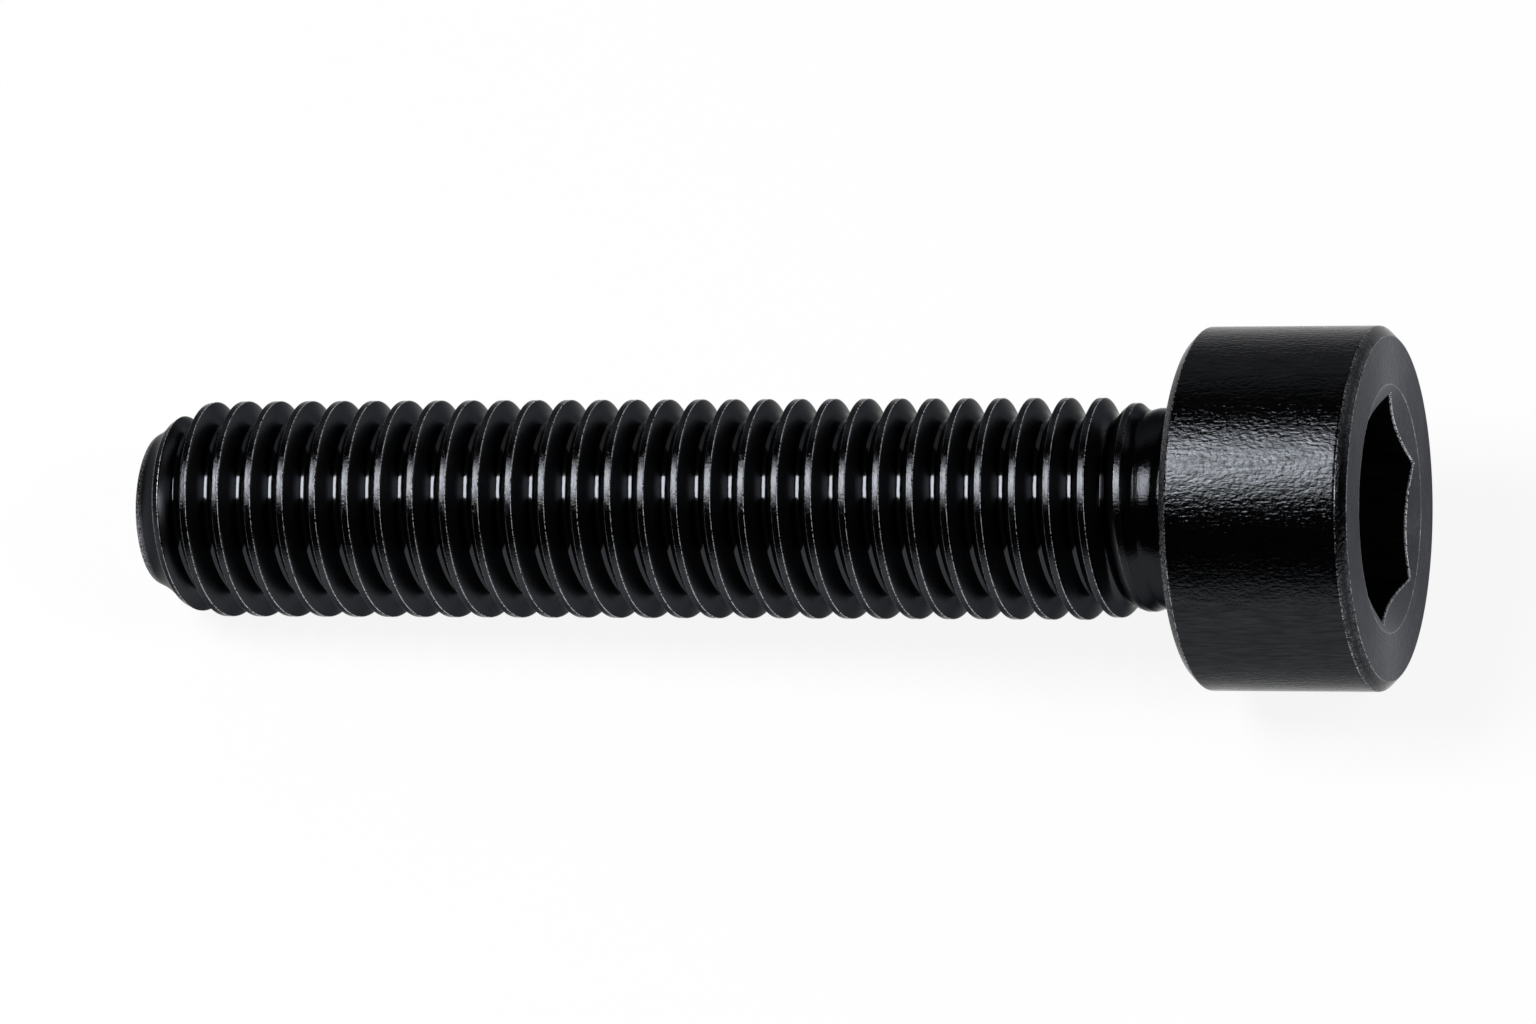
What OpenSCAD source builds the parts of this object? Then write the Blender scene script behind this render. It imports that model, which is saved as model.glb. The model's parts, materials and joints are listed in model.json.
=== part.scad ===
// Socket head cap screw, one solid, lying as it comes to rest on z = 0.
// The screw is drawn along its own axis, bearing face at z = 0, head above and shank below,
// and is then laid down with the head towards +X.

/* [Shank] */
// Length under the head, in mm
length = 39.5; // [16:0.5:60]
// Diameter over the thread crests
thread_d = 7.85; // [5:0.05:10]
// Thread pitch
pitch = 1.25; // [0.8:0.05:1.5]
// Width of the flat on the crests
crest_flat = 0.2; // [0.1:0.02:0.28]
// Width of the flat at the roots
root_flat = 0.2; // [0.1:0.02:0.28]
// Angle between the two flanks of the thread
flank_angle = 60; // [55:1:60]
// Plain neck between the thread and the head
neck_length = 1.4; // [0.8:0.1:6]
// Stretch over which the thread fades into the neck
runout_length = 2.5; // [1:0.1:4]
// Stretch over which the thread rises at the end
lead_length = 2.4; // [1:0.1:4]
// Step down in radius from the thread roots to the flat end
point_drop = 0.42; // [0.1:0.02:0.6]

/* [Head] */
// Head diameter
head_d = 12.8; // [11.5:0.1:18]
// Head height
head_h = 6.7; // [6:0.1:12]
// Chamfer round the socket face
face_chamfer = 0.35; // [0.1:0.05:0.8]
// Chamfer round the bearing side
foot_chamfer = 0.3; // [0.1:0.05:0.8]
// Fillet between the neck and the bearing face
fillet_r = 0.4; // [0.2:0.05:0.8]

/* [Socket] */
// Hexagon socket across its flats
socket_af = 7.1; // [4:0.05:8]
// Depth of the flats from the face
socket_depth = 3.9; // [2:0.1:4.5]
// Depth of the cone under the flats
socket_point = 1; // [0.4:0.1:1.2]
// How far the countersink runs out past the hexagon corners
countersink = 0.25; // [0.1:0.05:0.5]
// Countersink angle, wall to wall
countersink_angle = 135; // [90:5:140]

/* [Hidden] */
head_r = head_d / 2;
thread_r = thread_d / 2;
thread_depth = (pitch - crest_flat - root_flat) / 2 / tan(flank_angle / 2);
root_r = thread_r - thread_depth;
point_r = root_r - point_drop;
// A rolled thread is raised out of a blank of about its mean diameter.
neck_r = (thread_r + root_r) / 2;
// The threaded core goes this far inside the neck, and up into the head.
core_inset = 0.05;
core_r = neck_r - core_inset;
core_end = head_h / 12;

hexagon_r = socket_af / 2 / cos(30);
countersink_r = hexagon_r + countersink;
countersink_depth = countersink_r / tan(countersink_angle / 2);

// Facets of the helix: fewer in each turn where the thread has more turns.
facet_budget = 7600;
turns = (length - neck_length) / pitch;
steps = max(12, min(36, floor(facet_budget / 8 / turns)));
// One pitch of the section has four corners: crest, crest, root, root.
flank_run = (pitch - crest_flat - root_flat) / 2;
corner_shift = [-crest_flat / 2, crest_flat / 2, crest_flat / 2 + flank_run, pitch - crest_flat / 2 - flank_run];
corner_height = [1, 1, 0, 0];
first_crest = -length + pitch / 4;
rows = 4 * ceil((-neck_length - first_crest) / pitch) + 1;

function mix(a, b, t) = a + (b - a) * t;
function limit(t) = max(0, min(1, t));
// Columns 0 and 1 lie on either side of the ground, so that the thread rests on a facet.
function column_angle(k) = 360 * (k - 0.5) / steps;
// How far the thread has risen from the flat end, and how much of it is left by the neck.
function lead(z) = sin(90 * limit((z + length) / lead_length));
function fade(z) = limit((-neck_length - z) / runout_length);
function envelope(r, z) = z < -length / 2 ? mix(point_r, r, lead(z)) : mix(core_r, r, fade(z));
function corner_z(k, i) = first_crest + pitch * (floor(i / 4) + column_angle(k) / 360) + corner_shift[i % 4];
function corner_r(k, i) = envelope(mix(root_r, thread_r, corner_height[i % 4]), corner_z(k, i));
// A point at column k, set out so that the middles of the facets keep the radius.
function polar(r, k, z) = r / cos(180 / steps) * [cos(column_angle(k)), sin(column_angle(k)), 0] + [0, 0, z];

// The screw lies on the rim of its head and on the crest that touches first.
rest_slope = min([for (k = [0, 1]) for (i = [0:15]) (head_r - corner_r(k, i)) / (foot_chamfer - corner_z(k, i))]);
rest_tilt = atan(rest_slope);
rest_height = head_r * cos(rest_tilt) - foot_chamfer * sin(rest_tilt);
far_x = head_h * cos(rest_tilt) + (head_r - face_chamfer) * sin(rest_tilt);
near_x = -length * cos(rest_tilt) - point_r * sin(rest_tilt);

$fn = 96;

cap_screw();

// Laid on the ground, centred on its length, head towards +X.
module cap_screw() {
    color([0.07, 0.07, 0.075])
    translate([-(far_x + near_x) / 2, 0, rest_height])
    rotate([0, -rest_tilt, 0])
    rotate([0, 90, 0])
    difference() {
        union() {
            head_and_neck();
            threaded_core();
        }
        hexagon_socket();
    }
}

// Turned head with its two chamfers, the neck and the fillet under the head.
module head_and_neck() {
    rotate_extrude() {
        polygon([
            [0, 0],
            [head_r - foot_chamfer, 0],
            [head_r, foot_chamfer],
            [head_r, head_h - face_chamfer],
            [head_r - face_chamfer, head_h],
            [0, head_h]
        ]);
        translate([0, -neck_length])
            square([neck_r, neck_length + core_end]);
        difference() {
            translate([neck_r - fillet_r, -fillet_r])
                square([2 * fillet_r, fillet_r + core_end]);
            translate([neck_r + fillet_r, -fillet_r])
                circle(fillet_r);
        }
    }
}

// Broached hexagon with the cone under it and the countersink round its mouth.
module hexagon_socket() {
    translate([0, 0, head_h - socket_depth])
        cylinder(r = hexagon_r, h = 2 * socket_depth, $fn = 6);
    translate([0, 0, head_h - socket_depth - socket_point])
        cylinder(r1 = 0, r2 = socket_af / 2, h = socket_point);
    translate([0, 0, head_h - countersink_depth])
        cylinder(r1 = 0, r2 = 2 * countersink_r, h = 2 * countersink_depth);
}

// Right-hand single-start thread with its core, as one closed helical skin.
// Column k holds the corners at one angle, and after a full turn it meets column 0 one pitch on.
module threaded_core() {
    corners = [for (k = [0:steps - 1]) for (i = [0:rows - 1]) polar(corner_r(k, i), k, corner_z(k, i))];
    end_ring = [for (k = [0:steps - 1]) polar(point_r, k, -length)];
    top_ring = [for (k = [0:steps - 1]) polar(core_r, k, core_end)];
    end_first = steps * rows;
    top_first = end_first + steps;
    end_hub = top_first + steps;
    top_hub = end_hub + 1;
    last = steps - 1;

    skin = [
        for (k = [0:last - 1])
        for (i = [0:rows - 2])
        for (half = [0, 1])
            half == 0
                ? [k * rows + i, k * rows + i + 1, (k + 1) * rows + i]
                : [k * rows + i + 1, (k + 1) * rows + i + 1, (k + 1) * rows + i]
    ];
    seam = [
        for (i = [0:rows - 6])
        for (half = [0, 1])
            half == 0
                ? [last * rows + i, last * rows + i + 1, i + 4]
                : [last * rows + i + 1, i + 5, i + 4]
    ];
    end_skirt = [
        for (k = [0:last - 1])
        for (half = [0, 1])
            half == 0
                ? [end_first + k, k * rows, end_first + k + 1]
                : [k * rows, (k + 1) * rows, end_first + k + 1]
    ];
    end_seam = [
        [end_first + last, last * rows, end_first],
        [last * rows, 0, end_first],
        for (i = [0:3]) [last * rows, i + 1, i]
    ];
    top_skirt = [
        for (k = [0:last - 1])
        for (half = [0, 1])
            half == 0
                ? [k * rows + rows - 1, top_first + k, (k + 1) * rows + rows - 1]
                : [top_first + k, top_first + k + 1, (k + 1) * rows + rows - 1]
    ];
    top_seam = [
        [rows - 1, top_first + last, top_first],
        [rows - 1, last * rows + rows - 1, top_first + last],
        for (i = [rows - 5:rows - 2]) [rows - 1, last * rows + i, last * rows + i + 1]
    ];
    end_cap = [for (k = [0:last]) [end_hub, end_first + k, end_first + (k + 1) % steps]];
    top_cap = [for (k = [0:last]) [top_hub, top_first + (k + 1) % steps, top_first + k]];

    polyhedron(
        points = concat(corners, end_ring, top_ring, [[0, 0, -length], [0, 0, core_end]]),
        faces = concat(skin, seam, end_skirt, end_seam, top_skirt, top_seam, end_cap, top_cap),
        convexity = 10
    );
}
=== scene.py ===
"""Looks of the socket head cap screw: a fine mesh, black oxide finishes, camera, floor and lights."""

import json
from math import cos, pi, radians, sin, tan

import bmesh
import bpy
import numpy as np
from mathutils import Matrix, Vector


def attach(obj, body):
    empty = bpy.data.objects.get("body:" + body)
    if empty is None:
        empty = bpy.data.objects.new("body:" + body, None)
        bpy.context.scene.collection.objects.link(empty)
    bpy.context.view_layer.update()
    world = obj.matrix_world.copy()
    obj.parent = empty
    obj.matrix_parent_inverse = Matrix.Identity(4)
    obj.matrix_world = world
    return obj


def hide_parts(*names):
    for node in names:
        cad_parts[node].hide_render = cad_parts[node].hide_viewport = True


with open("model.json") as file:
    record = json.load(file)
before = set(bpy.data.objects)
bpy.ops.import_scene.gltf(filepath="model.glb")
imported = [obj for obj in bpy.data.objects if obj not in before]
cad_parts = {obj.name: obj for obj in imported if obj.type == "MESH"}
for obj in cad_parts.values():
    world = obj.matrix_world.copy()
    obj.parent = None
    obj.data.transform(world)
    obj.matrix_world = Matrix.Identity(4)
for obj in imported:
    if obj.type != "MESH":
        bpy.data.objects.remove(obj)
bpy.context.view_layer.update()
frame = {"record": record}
MM = 0.001

# Sizes of the screw in millimetres, and angles in degrees, as in the part's source.
LENGTH = 39.5
THREAD_R = 3.925
PITCH = 1.25
CREST_FLAT = 0.2
ROOT_FLAT = 0.2
FLANK_ANGLE = 60
NECK_LENGTH = 1.4
RUNOUT_LENGTH = 2.5
LEAD_LENGTH = 2.4
POINT_DROP = 0.42
HEAD_R = 6.4
HEAD_H = 6.7
FACE_CHAMFER = 0.35
FOOT_CHAMFER = 0.3
FILLET_R = 0.4
SOCKET_AF = 7.1
SOCKET_DEPTH = 3.9
SOCKET_POINT = 1.0
COUNTERSINK = 0.25
COUNTERSINK_ANGLE = 135

FLANK_SLOPE = tan(radians(90 - FLANK_ANGLE / 2))
FLANK_RUN = (PITCH - CREST_FLAT - ROOT_FLAT) / 2
ROOT_R = THREAD_R - FLANK_RUN * FLANK_SLOPE
POINT_R = ROOT_R - POINT_DROP
NECK_R = (THREAD_R + ROOT_R) / 2
HEXAGON_R = SOCKET_AF / 2 / cos(radians(30))
COUNTERSINK_R = HEXAGON_R + COUNTERSINK
COUNTERSINK_SLOPE = 1 / tan(radians(COUNTERSINK_ANGLE / 2))
FIRST_CREST = -LENGTH + PITCH / 4

# A shallow hollow turned into the neck: how far under the head, half its width and its depth.
HOLLOW_MIDDLE = 0.76
HOLLOW_HALF = 0.35
HOLLOW_DEPTH = 0.07
# The thread's rows all end below one height, this far short of the hollow.
HOLLOW_MARGIN = 0.03

# Rounding of the head's corners: its reach, and the steps along a wall and off it for the rows between.
EDGE_SOFT = 0.035
EDGE_STEP, EDGE_DROP = 0.1 * EDGE_SOFT, 0.25 * EDGE_SOFT
PAST_STEP, PAST_DROP = 0.7 * EDGE_SOFT, 0.8 * EDGE_SOFT
# Rounding of the socket's edge and mouth, and the narrow rows where its cone and its flats meet.
SOCKET_SOFT = 0.014
CONE_GAP = 0.01
FLOOR_GAP, FLOOR_RISE = 0.004, 0.002
# Depths under the socket's edge between which its worn band begins.
BAND_START, BAND_FULL = 0.1, 0.07

# Shares of wear along the edges.
WORN = 1.0
BESIDE_WORN = 0.2
CONE_WORN = 0.9
MOUTH_WORN = 0.8
LOW_RIM_WORN, LOW_RIM_BESIDE = 0.5, 0.3
END_WORN = 0.4
CREST_TIP_SIDE_WORN, CREST_HEAD_SIDE_WORN = 0.3, 0.7

# Rounding of the flat end: how far in from its edge, how far up and how worn.
END_RISE = 0.03
END_ROUND = ((0.06, 0.0, 0.0), (0.018, 0.006, END_WORN), (0.0, END_RISE, END_WORN))

# Rows of points along the walls, as shares of the way along each.
FLAT_SHARES = (0.04, 0.3, 0.6, 0.85)
CONE_SHARES = (0.35, 0.7)
FACE_SHARES = (0.08, 0.3, 0.55, 0.8, 0.95)
BEARING_SHARES = (0.3, 0.7, 0.94)
SKIRT_SHARES = (0.3, 0.55, 0.78, 0.93)
# Even rows along the head's side, and how far they keep from its chamfers.
SIDE_ROWS, SIDE_MARGIN = 20, 0.12
# Even rows round the fillet, in degrees, and the number of them across the hollow.
FILLET_TURNS = range(0, 91, 15)
HOLLOW_ROWS = 11

# The skirt between the flat end and the first turn of the thread swells partly evenly and partly late.
SKIRT_EVEN, SKIRT_LATE, SKIRT_POWER = 0.55, 0.45, 2.2
# Part of the run-out's fade that eases in and out. The rest is even.
RUNOUT_EASE = 0.4
# Worn crests and dull flanks fade out by the neck, and the wear by the end too: start and length.
WEAR_FROM_NECK, WEAR_FADE = 0.4, 1.0
FLANK_FROM_NECK, FLANK_FADE = 0.5, 0.4
WEAR_END_FADE = 0.6
# Rows this near a crest's edge are worn.
WORN_REACH = 0.008
# Flank rows start this far from the middle of a crest and stop this far short of the root.
FLANK_START, FLANK_STOP = 0.15, 0.06
# Heights between which the thread's finish turns into the neck's.
NECK_FINISH = (-NECK_LENGTH - 0.9, -NECK_LENGTH - 0.5)

# Columns round the axis: a multiple of six, so that the socket's corners fall on them.
COLUMNS = 126
ANGLES = np.arange(COLUMNS) * 2 * pi / COLUMNS
# Corners of the mesh flatter than this are shaded smooth.
SHARP_ANGLE = radians(42)

mounts = {m["name"]: m for m in frame["record"]["mounts"]}
face_centre = mounts["hexagon_socket"]["pos_m"]
axis = Vector(mounts["hexagon_socket"]["axis"]).normalized()
across = Vector((0, 1, 0))
down = across.cross(axis)
bearing = Vector(face_centre) - axis * HEAD_H * MM
# Screw frame to row frame: x down, y across, z along the axis to the head.
place = np.array([list(down), list(across), list(axis)])

OXIDE, SIDE, FACE, SOCKET, CONE = range(5)


def lerp(a, b, t):
    return a + (b - a) * t


def ramp(distance, length):
    """Rises evenly from 0 to 1 over a length."""
    return np.clip(distance / length, 0, 1)


def smooth(t):
    """Eases in and out between 0 and 1."""
    return t * t * (3 - 2 * t)


# Thread section, from the middle of a crest to the middle of a root: (along the axis, radius).
# The visible crest is a little wider than its flat in the part's source, and the root as much narrower.
CREST_WIDER = 0.015
CREST_HALF = CREST_FLAT / 2 + CREST_WIDER
ROOT_HALF = ROOT_FLAT / 2 - CREST_WIDER
# The crest dips in the middle, and its edge is rounded: (past the edge, below the crest).
CREST_DIP = 0.004
DIP_SIDE, DIP_SHARE = 0.06, 0.6
CREST_ROUND = ((-0.018, 0.0), (-0.006, 0.004), (0.005, 0.015))
# Rows down the flank, by their distance past the crest's edge, and round the root, in degrees.
FLANK_STEPS = (0.015, 0.05, 0.22)
ROOT_ROUND = 0.025
ROOT_TURNS = (60, 30, 0)
ROOT_EDGE = PITCH / 2 - ROOT_HALF + ROOT_ROUND * tan(radians(FLANK_ANGLE / 2))
half = [(0.0, THREAD_R - CREST_DIP), (DIP_SIDE, THREAD_R - DIP_SHARE * CREST_DIP)]
for past, below in CREST_ROUND:
    half.append((CREST_HALF + past, THREAD_R - below))
for past in FLANK_STEPS:
    half.append((CREST_HALF + past, THREAD_R - past * FLANK_SLOPE))
for turn in ROOT_TURNS:
    t = radians(turn)
    half.append((ROOT_EDGE - ROOT_ROUND * sin(t), ROOT_R + ROOT_ROUND * (1 - cos(t))))
half.append((PITCH / 2, ROOT_R))
# One full pitch starts at the crest's edge on the tip side.
START = 4
section = [(-z, r) for z, r in half[START:0:-1]] + half[:-1] + [(PITCH - z, r) for z, r in half[:START:-1]]
ROWS = len(section)


def envelope(r, z, level):
    """Radius of a thread corner once the lead at the tip and the run-out at the neck have their say."""
    lead = np.sin(pi / 2 * ramp(z + LENGTH, LEAD_LENGTH))
    fade = ramp(-NECK_LENGTH - level, RUNOUT_LENGTH)
    fade = smooth(fade) * RUNOUT_EASE + fade * (1 - RUNOUT_EASE)
    return np.where(z < -LENGTH / 2, POINT_R + (r - POINT_R) * lead, NECK_R + (r - NECK_R) * fade)


class Builder:
    """Collects points in the screw frame, quads and triangles, and values per point."""

    def __init__(self):
        self.points, self.edge, self.crest, self.flank = [], [], [], []
        self.faces, self.kinds = [], []

    def point(self, x, y, z, edge=0.0, crest=0.0, flank=0.0):
        self.points.append((x, y, z))
        self.edge.append(edge)
        self.crest.append(crest)
        self.flank.append(flank)
        return len(self.points) - 1

    def ring(self, radii, heights, edge):
        """A ring of points; radius and height may change round the axis."""
        radii = np.broadcast_to(radii, COLUMNS)
        heights = np.broadcast_to(heights, COLUMNS)
        return [self.point(r * cos(t), r * sin(t), z, edge) for r, t, z in zip(radii, ANGLES, heights)]

    def face(self, corners, kind):
        self.faces.append(corners)
        self.kinds.append(kind)

    def turned(self, hub_z, rows):
        """A skin round the axis, from a point on it through rows of (radius, height, wear, finish of the
        band that ends there). Returns the last ring."""
        hub = self.point(0, 0, hub_z)
        rings = [self.ring(r, z, edge) for r, z, edge, kind in rows]
        following = [(k + 1) % COLUMNS for k in range(COLUMNS)]
        for k, n in enumerate(following):
            self.face((rings[0][k], rings[0][n], hub), rows[0][-1])
        for low, high, row in zip(rings, rings[1:], rows[1:]):
            for k, n in enumerate(following):
                self.face((low[k], low[n], high[n], high[k]), row[-1])
        return rings[-1]

    def ladder(self, left, right, kind):
        """Quads between two runs of points that match row by row."""
        for i in range(len(left) - 1):
            self.face((left[i], right[i], right[i + 1], left[i + 1]), kind)

    def stitch(self, left, right, kind):
        """Triangles between two runs of points that both rise along the axis."""
        i = j = 0
        while i < len(left) - 1 or j < len(right) - 1:
            step_left = j == len(right) - 1 or (
                i < len(left) - 1 and self.points[left[i + 1]][2] <= self.points[right[j + 1]][2]
            )
            if step_left:
                self.face((left[i], right[j], left[i + 1]), kind)
                i += 1
            else:
                self.face((left[i], right[j], right[j + 1]), kind)
                j += 1


def socket_rows():
    """Cone, floor, six flats and countersink. The flats' rows follow the hexagon by its angle."""
    floor_z = HEAD_H - SOCKET_DEPTH
    swing = np.mod(ANGLES, pi / 3) - pi / 6
    hexagon = SOCKET_AF / 2 / np.cos(swing)
    meet = HEAD_H - (COUNTERSINK_R - hexagon) * COUNTERSINK_SLOPE
    soft, rise = SOCKET_SOFT, SOCKET_SOFT * COUNTERSINK_SLOPE
    rows = [
        (SOCKET_AF / 4, floor_z - SOCKET_POINT / 2, 0.0, SOCKET),
        (SOCKET_AF / 2 - CONE_GAP, floor_z, 0.0, SOCKET),
        (hexagon - FLOOR_GAP, floor_z + FLOOR_RISE, 0.0, SOCKET),
    ]
    rows += [(hexagon, lerp(floor_z, meet, share), 0.0, SOCKET) for share in FLAT_SHARES]
    rows += [
        (hexagon, meet - BAND_START, 0.0, SOCKET),
        (hexagon, meet - BAND_FULL, WORN, SOCKET),
        (hexagon, meet - soft, WORN, SOCKET),
        (hexagon + soft, meet + rise, CONE_WORN, SOCKET),
        (hexagon + 2 * soft, meet + 2 * rise, 0.0, CONE),
    ]
    for share in CONE_SHARES:
        rows.append((lerp(hexagon, COUNTERSINK_R, share), lerp(meet, HEAD_H, share), 0.0, CONE))
    rows += [
        (COUNTERSINK_R - 2 * soft, HEAD_H - 2 * rise, 0.0, CONE),
        (COUNTERSINK_R - soft, HEAD_H - rise, MOUTH_WORN, CONE),
        (COUNTERSINK_R + soft, HEAD_H, MOUTH_WORN, CONE),
        (COUNTERSINK_R + 2 * soft, HEAD_H, 0.0, CONE),
    ]
    return rows


def head_rows():
    """Face, rim chamfer, side, foot chamfer, bearing face, fillet and the hollow in the neck."""
    rim = HEAD_R - FACE_CHAMFER
    shoulder = HEAD_H - FACE_CHAMFER
    foot = HEAD_R - FOOT_CHAMFER
    rows = [(lerp(COUNTERSINK_R, rim, share), HEAD_H, 0.0, FACE) for share in FACE_SHARES]
    rows += [
        (rim - EDGE_SOFT, HEAD_H, 0.0, FACE),
        (rim + EDGE_STEP, HEAD_H - EDGE_DROP, WORN, FACE),
        (rim + PAST_STEP, HEAD_H - PAST_DROP, BESIDE_WORN, SIDE),
        (lerp(rim, HEAD_R, 0.5), HEAD_H - FACE_CHAMFER / 2, 0.0, SIDE),
        (HEAD_R - PAST_DROP, shoulder + PAST_STEP, BESIDE_WORN, SIDE),
        (HEAD_R - EDGE_DROP, shoulder - EDGE_STEP, WORN, SIDE),
        (HEAD_R, shoulder - EDGE_SOFT, 0.0, SIDE),
    ]
    for share in np.linspace(0, 1, SIDE_ROWS):
        rows.append((HEAD_R, lerp(shoulder - SIDE_MARGIN, FOOT_CHAMFER + SIDE_MARGIN, share), 0.0, SIDE))
    rows += [
        (HEAD_R, FOOT_CHAMFER + EDGE_SOFT, 0.0, SIDE),
        (HEAD_R - EDGE_DROP, FOOT_CHAMFER + EDGE_STEP, WORN, SIDE),
        (HEAD_R - PAST_DROP, FOOT_CHAMFER - PAST_STEP, BESIDE_WORN, SIDE),
        (foot + PAST_STEP, PAST_DROP, LOW_RIM_BESIDE, SIDE),
        (foot + EDGE_STEP, EDGE_DROP, LOW_RIM_WORN, SIDE),
        (foot - EDGE_SOFT, 0.0, BESIDE_WORN, SIDE),
    ]
    rows += [(lerp(foot, NECK_R + FILLET_R, share), 0.0, 0.0, SIDE) for share in BEARING_SHARES]
    for turn in FILLET_TURNS:
        t = radians(turn)
        rows.append((NECK_R + FILLET_R * (1 - sin(t)), -FILLET_R * (1 - cos(t)), 0.0, OXIDE))
    for share in np.linspace(-1, 1, HOLLOW_ROWS):
        sunk = HOLLOW_DEPTH * (1 + cos(pi * share)) / 2
        rows.append((NECK_R - sunk, -HOLLOW_MIDDLE - share * HOLLOW_HALF, 0.0, OXIDE))
    return rows


def end_rows():
    """Flat end with its small rounding."""
    rows = [(POINT_R / 2, -LENGTH, 0.0, OXIDE)]
    for inset, rise, worn in END_ROUND:
        rows.append((POINT_R - inset, -LENGTH + rise, worn, OXIDE))
    return rows


def build_thread(b, tip_ring, neck_ring):
    """The thread, column by column along the axis from the flat end to the neck. After a full turn a column
    meets the first one, a pitch further on."""
    last_z = -HOLLOW_MIDDLE - HOLLOW_HALF - HOLLOW_MARGIN
    shift = np.array([z for z, r in section])
    radius = np.array([r for z, r in section])
    turns = int((last_z - FIRST_CREST - shift[0]) // PITCH) + 1
    row_z = np.concatenate([FIRST_CREST + n * PITCH + shift for n in range(turns)])
    row_r = np.tile(radius, turns)
    # By the neck each crest stays level along the axis, and the run-out lowers it between the crests.
    climb = smooth(ramp(shift - shift[0] - 2 * CREST_HALF, PITCH - 2 * CREST_HALF))
    row_level = np.concatenate([FIRST_CREST + (n + climb) * PITCH + shift[0] for n in range(turns)])
    off_crest = np.minimum(np.abs(shift), np.abs(shift - PITCH))
    at_edge = np.abs(off_crest - CREST_HALF) < WORN_REACH
    edge_wear = np.where(shift < 0, CREST_TIP_SIDE_WORN, CREST_HEAD_SIDE_WORN)
    row_edge = np.tile(np.where(at_edge, edge_wear, 0.0), turns)
    row_crest = np.tile(np.where(off_crest < CREST_HALF, 1.0, 0.0), turns)
    on_flank = (off_crest > FLANK_START) & (off_crest < ROOT_EDGE - FLANK_STOP)
    row_flank = np.tile(np.where(on_flank, 1.0, 0.0), turns)
    columns = []
    for k in range(COLUMNS):
        z = row_z + PITCH * k / COLUMNS
        r = envelope(row_r, z, row_level + PITCH * k / COLUMNS)
        c, s = cos(ANGLES[k]), sin(ANGLES[k])
        edge = row_edge * ramp(-NECK_LENGTH - WEAR_FROM_NECK - z, WEAR_FADE)
        edge = edge * ramp(z + LENGTH, WEAR_END_FADE)
        flank = row_flank * ramp(-NECK_LENGTH - FLANK_FROM_NECK - z, FLANK_FADE)
        column = [tip_ring[k]]
        for share in SKIRT_SHARES:
            swell = SKIRT_EVEN * share + SKIRT_LATE * share**SKIRT_POWER
            skirt_z = lerp(-LENGTH + END_RISE, z[0], share)
            skirt_r = lerp(POINT_R, r[0], swell)
            column.append(b.point(skirt_r * c, skirt_r * s, skirt_z, flank=1.0))
        for i in np.flatnonzero(z <= last_z):
            column.append(b.point(r[i] * c, r[i] * s, z[i], edge[i], row_crest[i], flank[i]))
        columns.append(column + [neck_ring[k]])
    for left, right in zip(columns, columns[1:]):
        shared = min(len(left), len(right)) - 2
        b.ladder(left[: shared + 1], right[: shared + 1], OXIDE)
        b.stitch(left[shared:], right[shared:], OXIDE)
    # The seam: the last column beside the first, whose rows match it one pitch further on.
    left, right = columns[-1], columns[0]
    left_from = 1 + len(SKIRT_SHARES)
    right_from = left_from + ROWS
    matched = min(len(left) - left_from, len(right) - right_from) - 1
    left_to, right_to = left_from + matched, right_from + matched
    b.stitch(left[: left_from + 1], right[: right_from + 1], OXIDE)
    b.ladder(left[left_from:left_to], right[right_from:right_to], OXIDE)
    b.stitch(left[left_to - 1 :], right[right_to - 1 :], OXIDE)


def build_screw():
    b = Builder()
    neck_ring = b.turned(HEAD_H - SOCKET_DEPTH - SOCKET_POINT, socket_rows() + head_rows())
    tip_ring = b.turned(-LENGTH, end_rows())
    build_thread(b, tip_ring, neck_ring)
    return b


def make_piece(name, b, materials):
    """A mesh object from the collected points and faces, with their values as attributes."""
    local = np.array(b.points)
    world = local @ place * MM + np.array(bearing)
    mesh = bpy.data.meshes.new(name)
    mesh.from_pydata(world.tolist(), [], b.faces)
    mesh.polygons.foreach_set("material_index", np.array(b.kinds, np.int32))
    for m in materials:
        mesh.materials.append(m)
    own = mesh.attributes.new("screw_mm", "FLOAT_VECTOR", "POINT")
    own.data.foreach_set("vector", local.astype(np.float32).ravel())
    for label, values in (("edge_wear", b.edge), ("crest", b.crest), ("flank", b.flank)):
        spread = mesh.attributes.new(label, "FLOAT", "POINT")
        spread.data.foreach_set("value", np.array(values, np.float32))
    bm = bmesh.new()
    bm.from_mesh(mesh)
    bmesh.ops.recalc_face_normals(bm, faces=bm.faces)
    open_edges = sum(1 for edge in bm.edges if not edge.is_manifold)
    bm.to_mesh(mesh)
    bm.free()
    mesh.polygons.foreach_set("use_smooth", np.ones(len(mesh.polygons), bool))
    mesh.set_sharp_from_angle(angle=SHARP_ANGLE)
    mesh.validate()
    mesh.update()
    piece = bpy.data.objects.new(name, mesh)
    bpy.context.scene.collection.objects.link(piece)
    triangles = sum(len(f) - 2 for f in b.faces)
    print(f"{name}: {len(b.points)} points, {triangles} triangles, {open_edges} open edges")
    return piece


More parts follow.
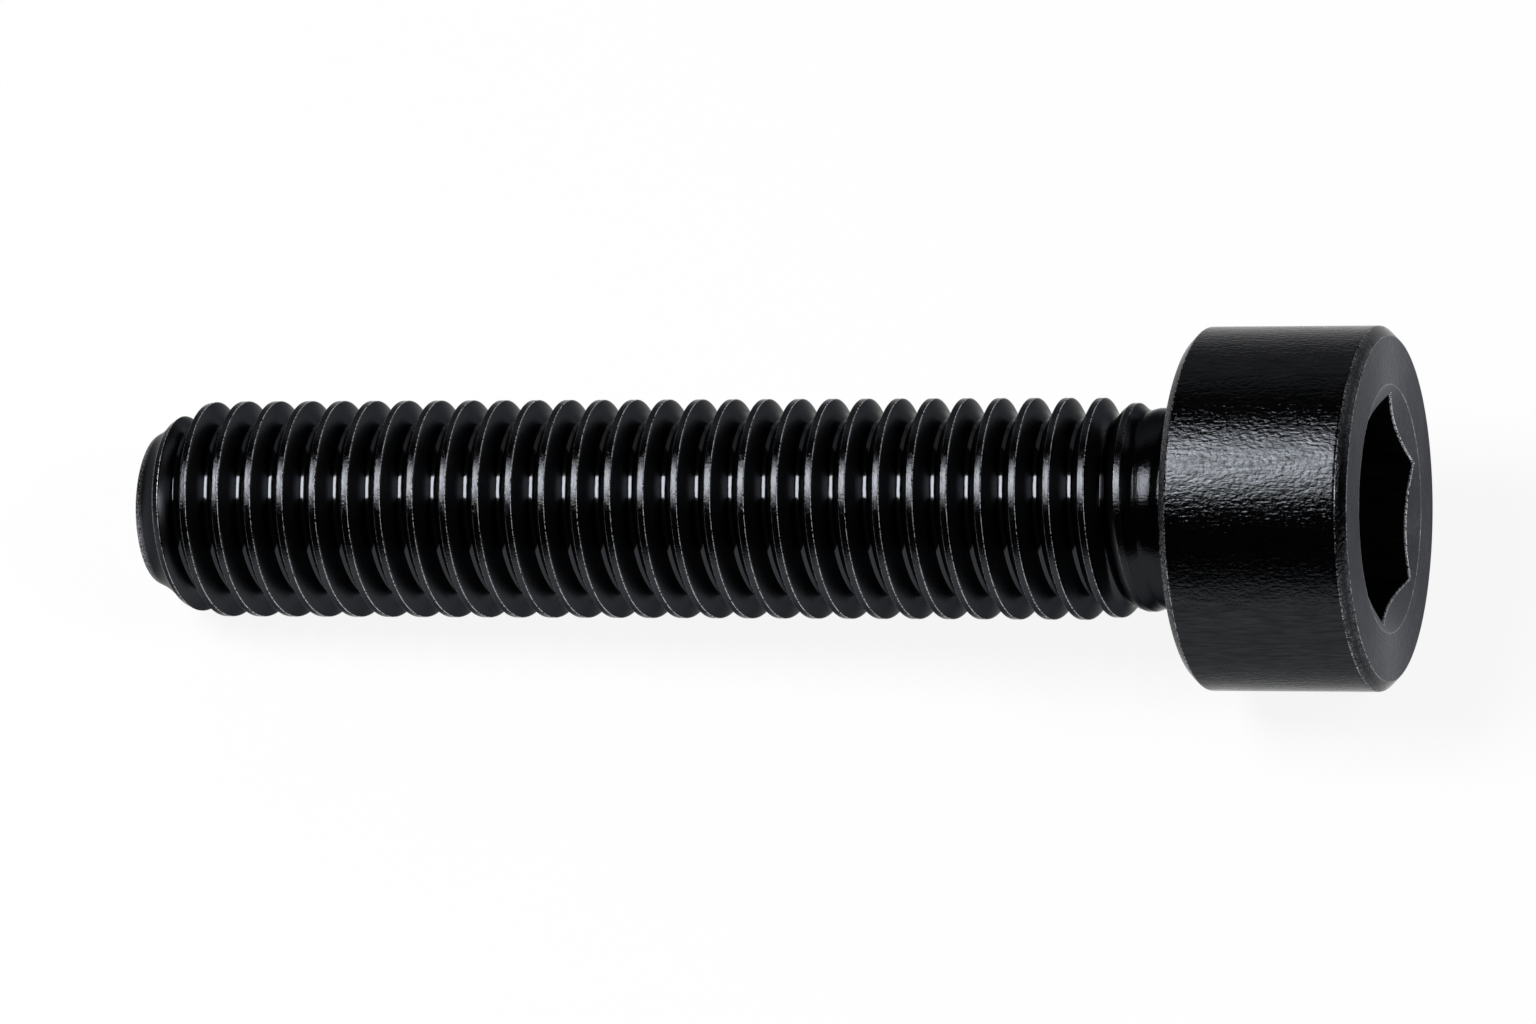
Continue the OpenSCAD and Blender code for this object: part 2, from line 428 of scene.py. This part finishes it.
class Nodes:
    """Short hand for a material's node tree."""

    def __init__(self, name):
        self.material = bpy.data.materials.new(name)
        self.material.use_nodes = True
        self.tree = self.material.node_tree
        self.shader = self.tree.nodes["Principled BSDF"]

    def add(self, kind, **inputs):
        node = self.tree.nodes.new(kind)
        for key, value in inputs.items():
            self.put(node.inputs[key], value)
        return node

    def put(self, socket, value):
        if isinstance(value, bpy.types.NodeSocket):
            self.tree.links.new(value, socket)
        else:
            socket.default_value = value

    def attribute(self, name, output):
        node = self.tree.nodes.new("ShaderNodeAttribute")
        node.attribute_name = name
        return node.outputs[output]

    def math(self, operation, a, b, clamp=False):
        node = self.tree.nodes.new("ShaderNodeMath")
        node.operation = operation
        node.use_clamp = clamp
        self.put(node.inputs[0], a)
        self.put(node.inputs[1], b)
        return node.outputs[0]

    def plus(self, value, other, share):
        """A value with a share of another one added."""
        return self.math("ADD", value, self.math("MULTIPLY", other, share))

    def vector_math(self, operation, a, b, output="Vector"):
        node = self.tree.nodes.new("ShaderNodeVectorMath")
        node.operation = operation
        self.put(node.inputs[0], a)
        self.put(node.inputs[1], b)
        return node.outputs[output]

    def line_of(self, value, scale):
        """A value as a vector for a noise that changes with it alone."""
        return self.add("ShaderNodeCombineXYZ", X=self.math("MULTIPLY", value, scale)).outputs[0]

    def away_from(self, centre):
        """The direction away from a point of the part, for a finish that is rough that way."""
        here = self.add("ShaderNodeTexCoord").outputs["Object"]
        turned = self.tree.nodes.new("ShaderNodeVectorTransform")
        turned.vector_type = "VECTOR"
        turned.convert_from = "OBJECT"
        turned.convert_to = "WORLD"
        self.put(turned.inputs[0], self.vector_math("SUBTRACT", here, centre))
        return turned.outputs[0]

    def noise(self, vector, scale, detail, rough=0.55):
        node = self.add("ShaderNodeTexNoise", Vector=vector, Scale=scale, Detail=detail, Roughness=rough)
        return node.outputs["Fac"]

    def remap(self, value, given, wanted):
        """A value's given range stretched to the wanted one and cut off at its ends."""
        node = self.tree.nodes.new("ShaderNodeMapRange")
        node.clamp = True
        for socket, item in zip(node.inputs[:5], (value, *given, *wanted)):
            self.put(socket, item)
        return node.outputs[0]

    def mix(self, share, a, b):
        """A blend of two colours. The numbers are the places of the node's colour sockets."""
        node = self.tree.nodes.new("ShaderNodeMix")
        node.data_type = "RGBA"
        self.put(node.inputs[0], share)
        self.put(node.inputs[6], a)
        self.put(node.inputs[7], b)
        return node.outputs[2]

    def bump(self, height, depth_mm, strength, normal=None):
        node = self.add("ShaderNodeBump", Strength=strength, Distance=depth_mm * MM, Height=height)
        if normal is not None:
            self.put(node.inputs["Normal"], normal)
        return node.outputs[0]

    def ready(self, colour, roughness, normal):
        self.put(self.shader.inputs["Base Color"], colour)
        self.put(self.shader.inputs["Roughness"], roughness)
        self.put(self.shader.inputs["Normal"], normal)
        return self.material


def grey(value, cool=0.08):
    """A grey, a little blue as black oxide is."""
    less_red, more_blue = 0.6 * cool, 1.3 * cool
    return (value * (1 - less_red), value, value * (1 + more_blue), 1.0)


class Oxide(Nodes):
    """Black oxide on steel: a dark metal whose coat is worn through in spots along the edges."""

    def __init__(self, name, dark, light, worn_spots, bare, tint=0.6, tint_cool=0.0):
        super().__init__(name)
        self.shader.inputs["Metallic"].default_value = 1.0
        self.shader.inputs["Specular Tint"].default_value = grey(tint, tint_cool)
        self.own = self.attribute("screw_mm", "Vector")
        self.clouds = self.noise(self.own, scale=0.8, detail=4)
        self.spots = self.noise(self.own, scale=15.0, detail=2, rough=0.6)
        in_spots = self.remap(self.spots, worn_spots, (0.0, 1.0))
        self.worn = self.math("MULTIPLY", self.attribute("edge_wear", "Fac"), in_spots)
        coat = self.mix(self.clouds, grey(dark), grey(light))
        self.colour = self.mix(self.worn, coat, grey(bare, cool=0.04))

    def grain(self, per_mm, detail, rough):
        """Noise with its own scale along each of the screw's axes."""
        stretched = self.vector_math("MULTIPLY", self.own, per_mm)
        return self.noise(stretched, scale=1.0, detail=detail, rough=rough)


def thread_oxide():
    """Glossy crests, duller flanks, and a darker neck with a light grain."""
    n = Oxide("black_oxide_thread", dark=0.030, light=0.040, worn_spots=(0.42, 0.53), bare=0.85, tint=0.42)
    grain = n.grain((2.0, 2.0, 14.0), detail=4, rough=0.6)
    along = n.add("ShaderNodeSeparateXYZ", Vector=n.own).outputs["Z"]
    neck = n.remap(along, NECK_FINISH, (0.0, 1.0))
    colour = n.mix(neck, n.colour, grey(0.019))
    roughness = n.remap(n.plus(n.clouds, grain, share=0.5), (0.4, 1.1), (0.05, 0.12))
    roughness = n.plus(roughness, n.attribute("flank", "Fac"), share=0.22)
    roughness = n.plus(roughness, n.worn, share=0.75)
    roughness = n.plus(roughness, neck, share=0.03)
    normal = n.bump(grain, depth_mm=0.004, strength=n.math("ADD", neck, 0.6))
    textured = n.math("MAXIMUM", n.attribute("crest", "Fac"), n.math("MULTIPLY", neck, 0.6))
    normal = n.bump(n.spots, depth_mm=0.012, strength=textured, normal=normal)
    return n.ready(colour, roughness, normal)


def head_oxide():
    """The head's side: a fine peel, and dark streaks along the axis."""
    n = Oxide("black_oxide_head", dark=0.027, light=0.036, worn_spots=(0.46, 0.60), bare=0.65)
    peel = n.grain((9.0, 9.0, 5.0), detail=3, rough=0.5)
    streaks = n.grain((8.0, 8.0, 1.0), detail=5, rough=0.65)
    colour = n.mix(n.remap(streaks, (0.35, 0.65), (0.0, 0.7)), n.colour, grey(0.011))
    roughness = n.remap(n.plus(n.clouds, streaks, share=0.6), (0.4, 1.2), (0.06, 0.16))
    roughness = n.plus(roughness, n.worn, share=0.35)
    normal = n.bump(peel, depth_mm=0.023, strength=0.9)
    normal = n.bump(streaks, depth_mm=0.014, strength=0.7, normal=normal)
    return n.ready(colour, roughness, normal)


def turned_oxide(name, dark, light):
    """The satin of the turned face and of the countersink: fine rings round the axis."""
    n = Oxide(name, dark, light, worn_spots=(0.40, 0.54), bare=0.8, tint=0.62, tint_cool=0.025)
    flat = n.vector_math("MULTIPLY", n.own, (1.0, 1.0, 0.0))
    radius = n.vector_math("LENGTH", flat, (0.0, 0.0, 0.0), "Value")
    grain = n.noise(n.own, scale=6.0, detail=4, rough=0.65)
    rings = n.noise(n.line_of(radius, scale=6.0), scale=1.0, detail=5, rough=0.7)
    colour = n.mix(n.remap(grain, (0.36, 0.64), (0.45, 0.0)), n.colour, grey(0.5 * dark))
    roughness = n.remap(n.plus(n.clouds, grain, share=0.8), (0.5, 1.3), (0.26, 0.42))
    roughness = n.plus(roughness, n.worn, share=0.5)
    normal = n.bump(rings, depth_mm=0.05, strength=0.8)
    normal = n.bump(grain, depth_mm=0.03, strength=0.8, normal=normal)
    # The tool's marks run round the axis, so the finish is smooth along them and rough across.
    n.shader.inputs["Anisotropic"].default_value = 0.9
    n.put(n.shader.inputs["Tangent"], n.away_from(face_centre))
    return n.ready(colour, roughness, normal)


def socket_oxide():
    """The socket's dull walls, with the broach's marks along the axis."""
    n = Oxide("black_oxide_socket", dark=0.022, light=0.034, worn_spots=(0.44, 0.53), bare=0.95)
    broach = n.grain((7.0, 7.0, 0.8), detail=4, rough=0.6)
    roughness = n.remap(broach, (0.3, 0.7), (0.28, 0.42))
    roughness = n.plus(roughness, n.worn, share=0.3)
    normal = n.bump(broach, depth_mm=0.02, strength=0.5)
    return n.ready(n.colour, roughness, normal)


# In the order of OXIDE, SIDE, FACE, SOCKET, CONE.
finishes = [
    thread_oxide(),
    head_oxide(),
    turned_oxide("black_oxide_face", dark=0.038, light=0.062),
    socket_oxide(),
    # The countersink's copy of the face's satin is lighter: painted light, standing in for the brighter
    # shading on its cone.
    turned_oxide("black_oxide_countersink", dark=0.066, light=0.1),
]
screw = make_piece("cap_screw_finish", build_screw(), finishes)
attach(screw, "root")
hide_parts("cap_screw")


def standing(x, y, z, where):
    """Matrix of an object with these axes at this place."""
    return Matrix((
        (x.x, y.x, z.x, where.x),
        (x.y, y.y, z.y, where.y),
        (x.z, y.z, z.z, where.z),
        (0, 0, 0, 1),
    ))


# Camera: the screw's axis runs level across the picture, and the head's end is turned towards the viewer.
IMAGE_W, IMAGE_H = 1536, 1024
FOCAL_PX = 8700
SENSOR_MM = 36
CLIP_START = 0.01
YAW = radians(18.5)
LIFT = radians(53)
# Where the photo shows the tip and the face, as columns, and the screw's axis, as a row.
TIP_PX, FACE_PX, AXIS_PX = 164.5, 1390.5, 508.8
near = (-across) * cos(LIFT) - down * sin(LIFT)
view = near * cos(YAW) + axis * sin(YAW)
right = axis * cos(YAW) - near * sin(YAW)
up = view.cross(right)
total = (LENGTH + HEAD_H) * MM
tip_x, face_x = (TIP_PX - IMAGE_W / 2) / FOCAL_PX, (FACE_PX - IMAGE_W / 2) / FOCAL_PX
# Distance and place along the axis that put the tip and the face on their columns of the picture.
reach_tip = (cos(YAW) + tip_x * sin(YAW)) / -tip_x
reach_face = (cos(YAW) + face_x * sin(YAW)) / face_x
tip_share = reach_face / (reach_tip + reach_face)
distance = reach_tip * tip_share * total
aim = bearing - axis * LENGTH * MM + axis * tip_share * total
aim = aim + up * (AXIS_PX - IMAGE_H / 2) / FOCAL_PX * distance
camera_data = bpy.data.cameras.new("camera")
camera_data.sensor_width = SENSOR_MM
camera_data.lens = FOCAL_PX * SENSOR_MM / IMAGE_W
camera_data.clip_start = CLIP_START
camera = bpy.data.objects.new("camera", camera_data)
camera.matrix_world = standing(right, up, view, aim + view * distance)
bpy.context.scene.collection.objects.link(camera)
bpy.context.scene.camera = camera

# Floor: a sheet of white paper.
SPAN = 2.0
PAPER_DARK, PAPER_LIGHT = (0.89, 0.89, 0.89, 1), (0.91, 0.91, 0.91, 1)
PLAIN_SHARE = 0.9
floor_corners = [(-SPAN, -SPAN, 0), (SPAN, -SPAN, 0), (SPAN, SPAN, 0), (-SPAN, SPAN, 0)]
floor_mesh = bpy.data.meshes.new("floor")
floor_mesh.from_pydata(floor_corners, [], [(0, 1, 2, 3)])
floor = bpy.data.objects.new("floor", floor_mesh)
bpy.context.scene.collection.objects.link(floor)
paper = Nodes("white_paper")
paper.shader.inputs["Roughness"].default_value = 0.9
paper.shader.inputs["Specular IOR Level"].default_value = 0.1
fibres = paper.noise(paper.add("ShaderNodeTexCoord").outputs["Object"], scale=400.0, detail=3)
paper.put(paper.shader.inputs["Base Color"], paper.mix(fibres, PAPER_DARK, PAPER_LIGHT))
# To the picture and to reflections the paper is mostly plain white, and the rest of it keeps the shadow.
rays = paper.add("ShaderNodeLightPath")
seen = paper.math("ADD", rays.outputs["Is Camera Ray"], rays.outputs["Is Glossy Ray"])
seen = paper.math("ADD", seen, rays.outputs["Is Transmission Ray"], clamp=True)
plain = paper.add("ShaderNodeEmission", Color=(1, 1, 1, 1), Strength=1.0)
blend = paper.add("ShaderNodeMixShader", Fac=paper.math("MULTIPLY", seen, PLAIN_SHARE))
paper.put(blend.inputs[1], paper.shader.outputs[0])
paper.put(blend.inputs[2], plain.outputs[0])
paper.put(paper.tree.nodes["Material Output"].inputs["Surface"], blend.outputs[0])
floor_mesh.materials.append(paper.material)

# Lights: a soft box over the viewer's left shoulder, a small one before the socket's mouth, and two dim
# panels on the far side, one for the thread and one for the head's rim. All face one point of the shank.
AIM_BELOW_HEAD = 16
STUDIO_DARK = (0.032, 0.032, 0.033, 1)
middle = bearing - axis * AIM_BELOW_HEAD * MM


def panel(name, beta, lean, reach, width, height, radiance):
    """A flat soft light that faces the screw. Beta turns about the axis from the viewer's side towards the
    top of the picture, and lean tips it along the axis towards the head, both in degrees."""
    beta, lean = radians(beta), radians(lean)
    direction = (near * cos(beta) + near.cross(axis) * sin(beta)) * cos(lean) + axis * sin(lean)
    data = bpy.data.lights.new(name, "AREA")
    data.shape = "RECTANGLE"
    data.size, data.size_y = width, height
    data.energy = radiance * pi * width * height
    lamp = bpy.data.objects.new(name, data)
    z = direction.normalized()
    x = (axis - z * axis.dot(z)).normalized()
    lamp.matrix_world = standing(x, z.cross(x), z, middle + z * reach)
    bpy.context.scene.collection.objects.link(lamp)


panel("key", beta=28.6, lean=-19, reach=0.35, width=0.13, height=0.166, radiance=17.5)
panel("back", beta=104, lean=-18, reach=0.5, width=0.4, height=0.36, radiance=0.36)
panel("mouth", beta=20, lean=48, reach=0.4, width=0.1, height=0.1, radiance=12.0)
panel("rim", beta=105, lean=48, reach=0.5, width=0.36, height=0.36, radiance=0.7)

world = bpy.data.worlds.new("studio")
world.use_nodes = True
world.node_tree.nodes["Background"].inputs["Color"].default_value = STUDIO_DARK
bpy.context.scene.world = world
bpy.context.scene.view_settings.view_transform = "Standard"
